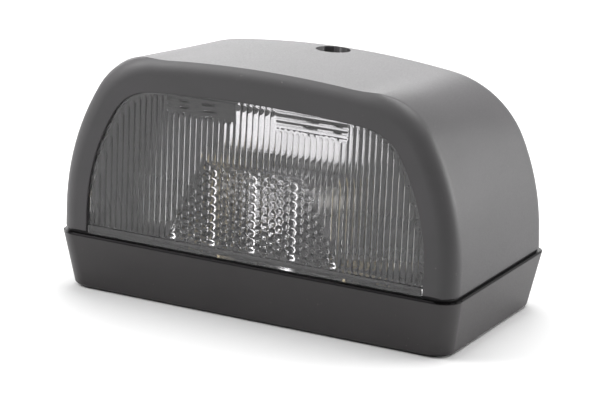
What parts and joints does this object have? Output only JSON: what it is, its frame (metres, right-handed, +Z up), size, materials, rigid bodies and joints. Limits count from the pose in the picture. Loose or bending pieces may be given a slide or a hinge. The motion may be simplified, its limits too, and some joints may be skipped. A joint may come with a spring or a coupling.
{
  "type": "number plate lamp",
  "caption": "Surface-mounted lamp with a tapered base, a hood-shaped cap, a fluted clear window and a festoon bulb.",
  "frame": {"origin": "centre of the mounting face under the base", "axes": "+Z up from the mounting face to the cap's crown, +X along the lamp's length; the window looks along -Y"},
  "size_m": [0.105, 0.0562, 0.0603],
  "materials": {
    "base_plastic": "fine-grained moulded plastic, charcoal",
    "cap_plastic": "fine-grained moulded plastic, charcoal",
    "clear_lens": "clear moulded plastic with flutes and beads inside",
    "seal_rubber": "black rubber",
    "plated_steel": "zinc plated steel",
    "insert_brass": "turned brass",
    "reflector_sheet": "satin aluminium sheet",
    "carrier_plastic": "black insulating plastic",
    "contact_brass": "spring brass strip",
    "bulb_glass": "clear bulb glass",
    "bulb_cap_metal": "nickel plated cap",
    "filament_wire": "dull tungsten wire"
  },
  "bodies": {
    "root": {"base": "base_plastic", "cap": "cap_plastic", "lens": "clear_lens", "lens_seal": "seal_rubber", "cap_seal": "seal_rubber", "cap_screw": "plated_steel", "screw_seal": "seal_rubber", "screw_insert": "insert_brass", "reflector": "reflector_sheet", "bulb_carrier": "carrier_plastic", "carrier_screws": "plated_steel", "contact_left": "contact_brass", "contact_right": "contact_brass", "contact_rivets": "insert_brass", "bulb_glass": "bulb_glass", "bulb_cap_left": "bulb_cap_metal", "bulb_cap_right": "bulb_cap_metal", "filament": "filament_wire", "cable_grommet": "seal_rubber"}
  },
  "joints": []
}
